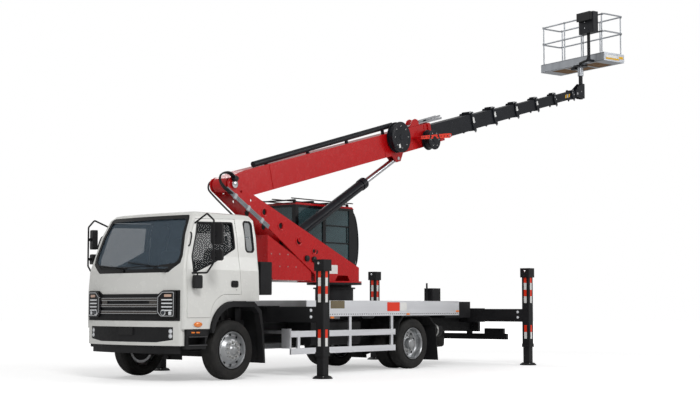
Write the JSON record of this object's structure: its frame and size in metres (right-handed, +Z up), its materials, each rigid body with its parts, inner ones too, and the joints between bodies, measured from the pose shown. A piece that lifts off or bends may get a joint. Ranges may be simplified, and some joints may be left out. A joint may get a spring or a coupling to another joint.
{
  "type": "truck-mounted cherry picker",
  "caption": "Two-axle cab-over truck with outriggers, a turning tower, a telescopic boom on a lift cylinder and a swivelling work basket.",
  "frame": {"origin": "on the ground, at the middle of the box round the whole machine", "axes": "-X is the way the truck drives, +Y is its right side, +Z up"},
  "size_m": [14.3934, 4, 7.6699],
  "materials": {
    "cab_white": "gloss off-white paint",
    "chassis_black": "satin black paint",
    "tower_red": "gloss red paint",
    "boom_black": "satin black paint",
    "leg_black": "satin black paint with stripes",
    "bed_alu": "brushed",
    "basket_alu": "satin",
    "tyre": "matt",
    "trim_plastic": "matt",
    "window": "clear tinted",
    "seat_fabric": "woven",
    "lamp": "clear",
    "chrome": "polished",
    "cast": "rough",
    "rod_steel": "polished"
  },
  "bodies": {
    "chassis": {"frame": "chassis_black", "engine": "cast", "front_axle": "cast", "rear_axle": "cast", "cab_shell": "cab_white", "cab_glass": "window", "cab_interior": "seat_fabric", "grille": "trim_plastic", "grille_bars": "chrome", "headlamps": "lamp", "bumper": "cab_white", "bumper_trim": "trim_plastic", "mudguards": "trim_plastic", "chassis_boxes": "chassis_black", "side_guards": "bed_alu", "bed": "bed_alu", "pedestal": "chassis_black", "deck_boxes": "chassis_black", "rear_gear": "chassis_black", "spare_wheel": "tyre"},
    "knuckle_left": {"knuckle_left": "cast"},
    "front_wheel_left": {"front_wheel_left": "tyre"},
    "rear_wheels_left": {"rear_wheels_left": "tyre"},
    "door_left": {"door_left": "cab_white", "door_glass_left": "window", "mirror_left": "trim_plastic"},
    "knuckle_right": {"knuckle_right": "cast"},
    "front_wheel_right": {"front_wheel_right": "tyre"},
    "rear_wheels_right": {"rear_wheels_right": "tyre"},
    "door_right": {"door_right": "cab_white", "door_glass_right": "window", "mirror_right": "trim_plastic"},
    "beam_front_left": {"outrigger_beam_front_left": "leg_black"},
    "leg_front_left": {"outrigger_leg_front_left": "leg_black"},
    "beam_front_right": {"outrigger_beam_front_right": "leg_black"},
    "leg_front_right": {"outrigger_leg_front_right": "leg_black"},
    "beam_rear_left": {"outrigger_beam_rear_left": "leg_black"},
    "leg_rear_left": {"outrigger_leg_rear_left": "leg_black"},
    "beam_rear_right": {"outrigger_beam_rear_right": "leg_black"},
    "leg_rear_right": {"outrigger_leg_rear_right": "leg_black"},
    "tower": {"tower": "tower_red", "tower_box": "tower_red", "operator_cabin": "trim_plastic", "operator_glass": "window", "operator_seat": "seat_fabric"},
    "operator_door": {"operator_door": "trim_plastic"},
    "boom_base": {"boom_base": "tower_red", "boom_gear": "boom_black"},
    "lift_rod": {"lift_rod": "rod_steel"},
    "lift_barrel": {"lift_barrel": "boom_black"},
    "section_1": {"boom_section_1": "boom_black"},
    "section_2": {"boom_section_2": "boom_black"},
    "section_3": {"boom_section_3": "boom_black"},
    "section_4": {"boom_section_4": "boom_black"},
    "section_5": {"boom_section_5": "boom_black"},
    "section_6": {"boom_section_6": "boom_black"},
    "boom_head": {"boom_head": "boom_black"},
    "basket": {"basket": "basket_alu", "control_box": "boom_black"}
  },
  "joints": [
    {"name": "steer_left", "type": "hinge", "parent": "chassis", "child": "knuckle_left", "pos_m": [-6.07674, -0.822, 0.435], "axis": [0, 0, 1], "range_deg": [-35, 35]},
    {"name": "front_wheel_left_spin", "type": "hinge", "parent": "knuckle_left", "child": "front_wheel_left", "pos_m": [-6.07674, -0.955, 0.435], "axis": [0, 1, 0], "continuous": true},
    {"name": "rear_wheels_left_spin", "type": "hinge", "parent": "chassis", "child": "rear_wheels_left", "pos_m": [-1.65674, -0.955, 0.435], "axis": [0, 1, 0], "continuous": true},
    {"name": "door_left_hinge", "type": "hinge", "parent": "chassis", "child": "door_left", "pos_m": [-6.97674, -1.055, 0.99], "axis": [0, 0, -1], "range_deg": [0, 65]},
    {"name": "steer_right", "type": "hinge", "parent": "chassis", "child": "knuckle_right", "pos_m": [-6.07674, 0.822, 0.435], "axis": [0, 0, 1], "range_deg": [-35, 35]},
    {"name": "front_wheel_right_spin", "type": "hinge", "parent": "knuckle_right", "child": "front_wheel_right", "pos_m": [-6.07674, 0.955, 0.435], "axis": [0, 1, 0], "continuous": true},
    {"name": "rear_wheels_right_spin", "type": "hinge", "parent": "chassis", "child": "rear_wheels_right", "pos_m": [-1.65674, 0.955, 0.435], "axis": [0, 1, 0], "continuous": true},
    {"name": "door_right_hinge", "type": "hinge", "parent": "chassis", "child": "door_right", "pos_m": [-6.97674, 1.055, 0.99], "axis": [0, 0, 1], "range_deg": [0, 65]},
    {"name": "beam_front_left_slide", "type": "slide", "parent": "chassis", "child": "beam_front_left", "axis": [0, -1, 0], "range_m": [-0.7, 0.52]},
    {"name": "leg_front_left_slide", "type": "slide", "parent": "beam_front_left", "child": "leg_front_left", "axis": [0, 0, -1], "range_m": [-0.25, 0.38]},
    {"name": "beam_front_right_slide", "type": "slide", "parent": "chassis", "child": "beam_front_right", "axis": [0, 1, 0], "range_m": [-0.7, 0.52]},
    {"name": "leg_front_right_slide", "type": "slide", "parent": "beam_front_right", "child": "leg_front_right", "axis": [0, 0, -1], "range_m": [-0.25, 0.38]},
    {"name": "beam_rear_left_slide", "type": "slide", "parent": "chassis", "child": "beam_rear_left", "axis": [0, -1, 0], "range_m": [-0.7, 0.52]},
    {"name": "leg_rear_left_slide", "type": "slide", "parent": "beam_rear_left", "child": "leg_rear_left", "axis": [0, 0, -1], "range_m": [-0.25, 0.38]},
    {"name": "beam_rear_right_slide", "type": "slide", "parent": "chassis", "child": "beam_rear_right", "axis": [0, 1, 0], "range_m": [-0.7, 0.52]},
    {"name": "leg_rear_right_slide", "type": "slide", "parent": "beam_rear_right", "child": "leg_rear_right", "axis": [0, 0, -1], "range_m": [-0.25, 0.38]},
    {"name": "slew", "type": "hinge", "parent": "chassis", "child": "tower", "pos_m": [-2.49674, 0, 1.5], "axis": [0, 0, 1], "range_deg": [-250, 250]},
    {"name": "operator_door_hinge", "type": "hinge", "parent": "tower", "child": "operator_door", "pos_m": [-2.95674, 1.19, 1.7503], "axis": [0, 0, 1], "range_deg": [0, 100]},
    {"name": "luff", "type": "hinge", "parent": "tower", "child": "boom_base", "pos_m": [-5.19674, 0, 2.985], "axis": [0, -1, 0], "range_deg": [-14.7, 60.3]},
    {"name": "lift_rod_hinge", "type": "hinge", "parent": "boom_base", "child": "lift_rod", "pos_m": [-0.74605, 0, 3.79284], "axis": [0, -1, 0], "range_deg": [-6, 8]},
    {"name": "lift_barrel_slide", "type": "slide", "parent": "lift_rod", "child": "lift_barrel", "axis": [-0.8735, 0, -0.4869], "range_m": [-0.6, 1.9]},
    {"name": "section_1_slide", "type": "slide", "parent": "boom_base", "child": "section_1", "axis": [0.9673, 0, 0.2538], "range_m": [-1.44, 2.6]},
    {"name": "section_2_slide", "type": "slide", "parent": "section_1", "child": "section_2", "axis": [0.9673, 0, 0.2538], "range_m": [-0.69, 3.4]},
    {"name": "section_3_slide", "type": "slide", "parent": "section_2", "child": "section_3", "axis": [0.9673, 0, 0.2538], "range_m": [-0.69, 3.4]},
    {"name": "section_4_slide", "type": "slide", "parent": "section_3", "child": "section_4", "axis": [0.9673, 0, 0.2538], "range_m": [-0.69, 3.4]},
    {"name": "section_5_slide", "type": "slide", "parent": "section_4", "child": "section_5", "axis": [0.9673, 0, 0.2538], "range_m": [-0.69, 3.4]},
    {"name": "section_6_slide", "type": "slide", "parent": "section_5", "child": "section_6", "axis": [0.9673, 0, 0.2538], "range_m": [-0.69, 3.4]},
    {"name": "head_level", "type": "hinge", "parent": "section_6", "child": "boom_head", "pos_m": [5.95887, 0, 5.85993], "axis": [0, -1, 0], "range_deg": [-61.3, 15.7]},
    {"name": "basket_swivel", "type": "hinge", "parent": "boom_head", "child": "basket", "pos_m": [6.23388, 0, 5.85993], "axis": [0, 0, 1], "range_deg": [-74.8, 105.2]}
  ],
  "couplings": [
    {"joint": "steer_right", "follows": "steer_left", "ratio": 1},
    {"joint": "lift_rod_hinge", "follows": "luff", "ratio": 0.05},
    {"joint": "lift_barrel_slide", "follows": "luff", "m_per_rad": 1.6},
    {"joint": "section_3_slide", "follows": "section_2_slide", "ratio": 1},
    {"joint": "section_4_slide", "follows": "section_2_slide", "ratio": 1},
    {"joint": "section_5_slide", "follows": "section_2_slide", "ratio": 1},
    {"joint": "section_6_slide", "follows": "section_2_slide", "ratio": 1},
    {"joint": "head_level", "follows": "luff", "ratio": -1}
  ]
}
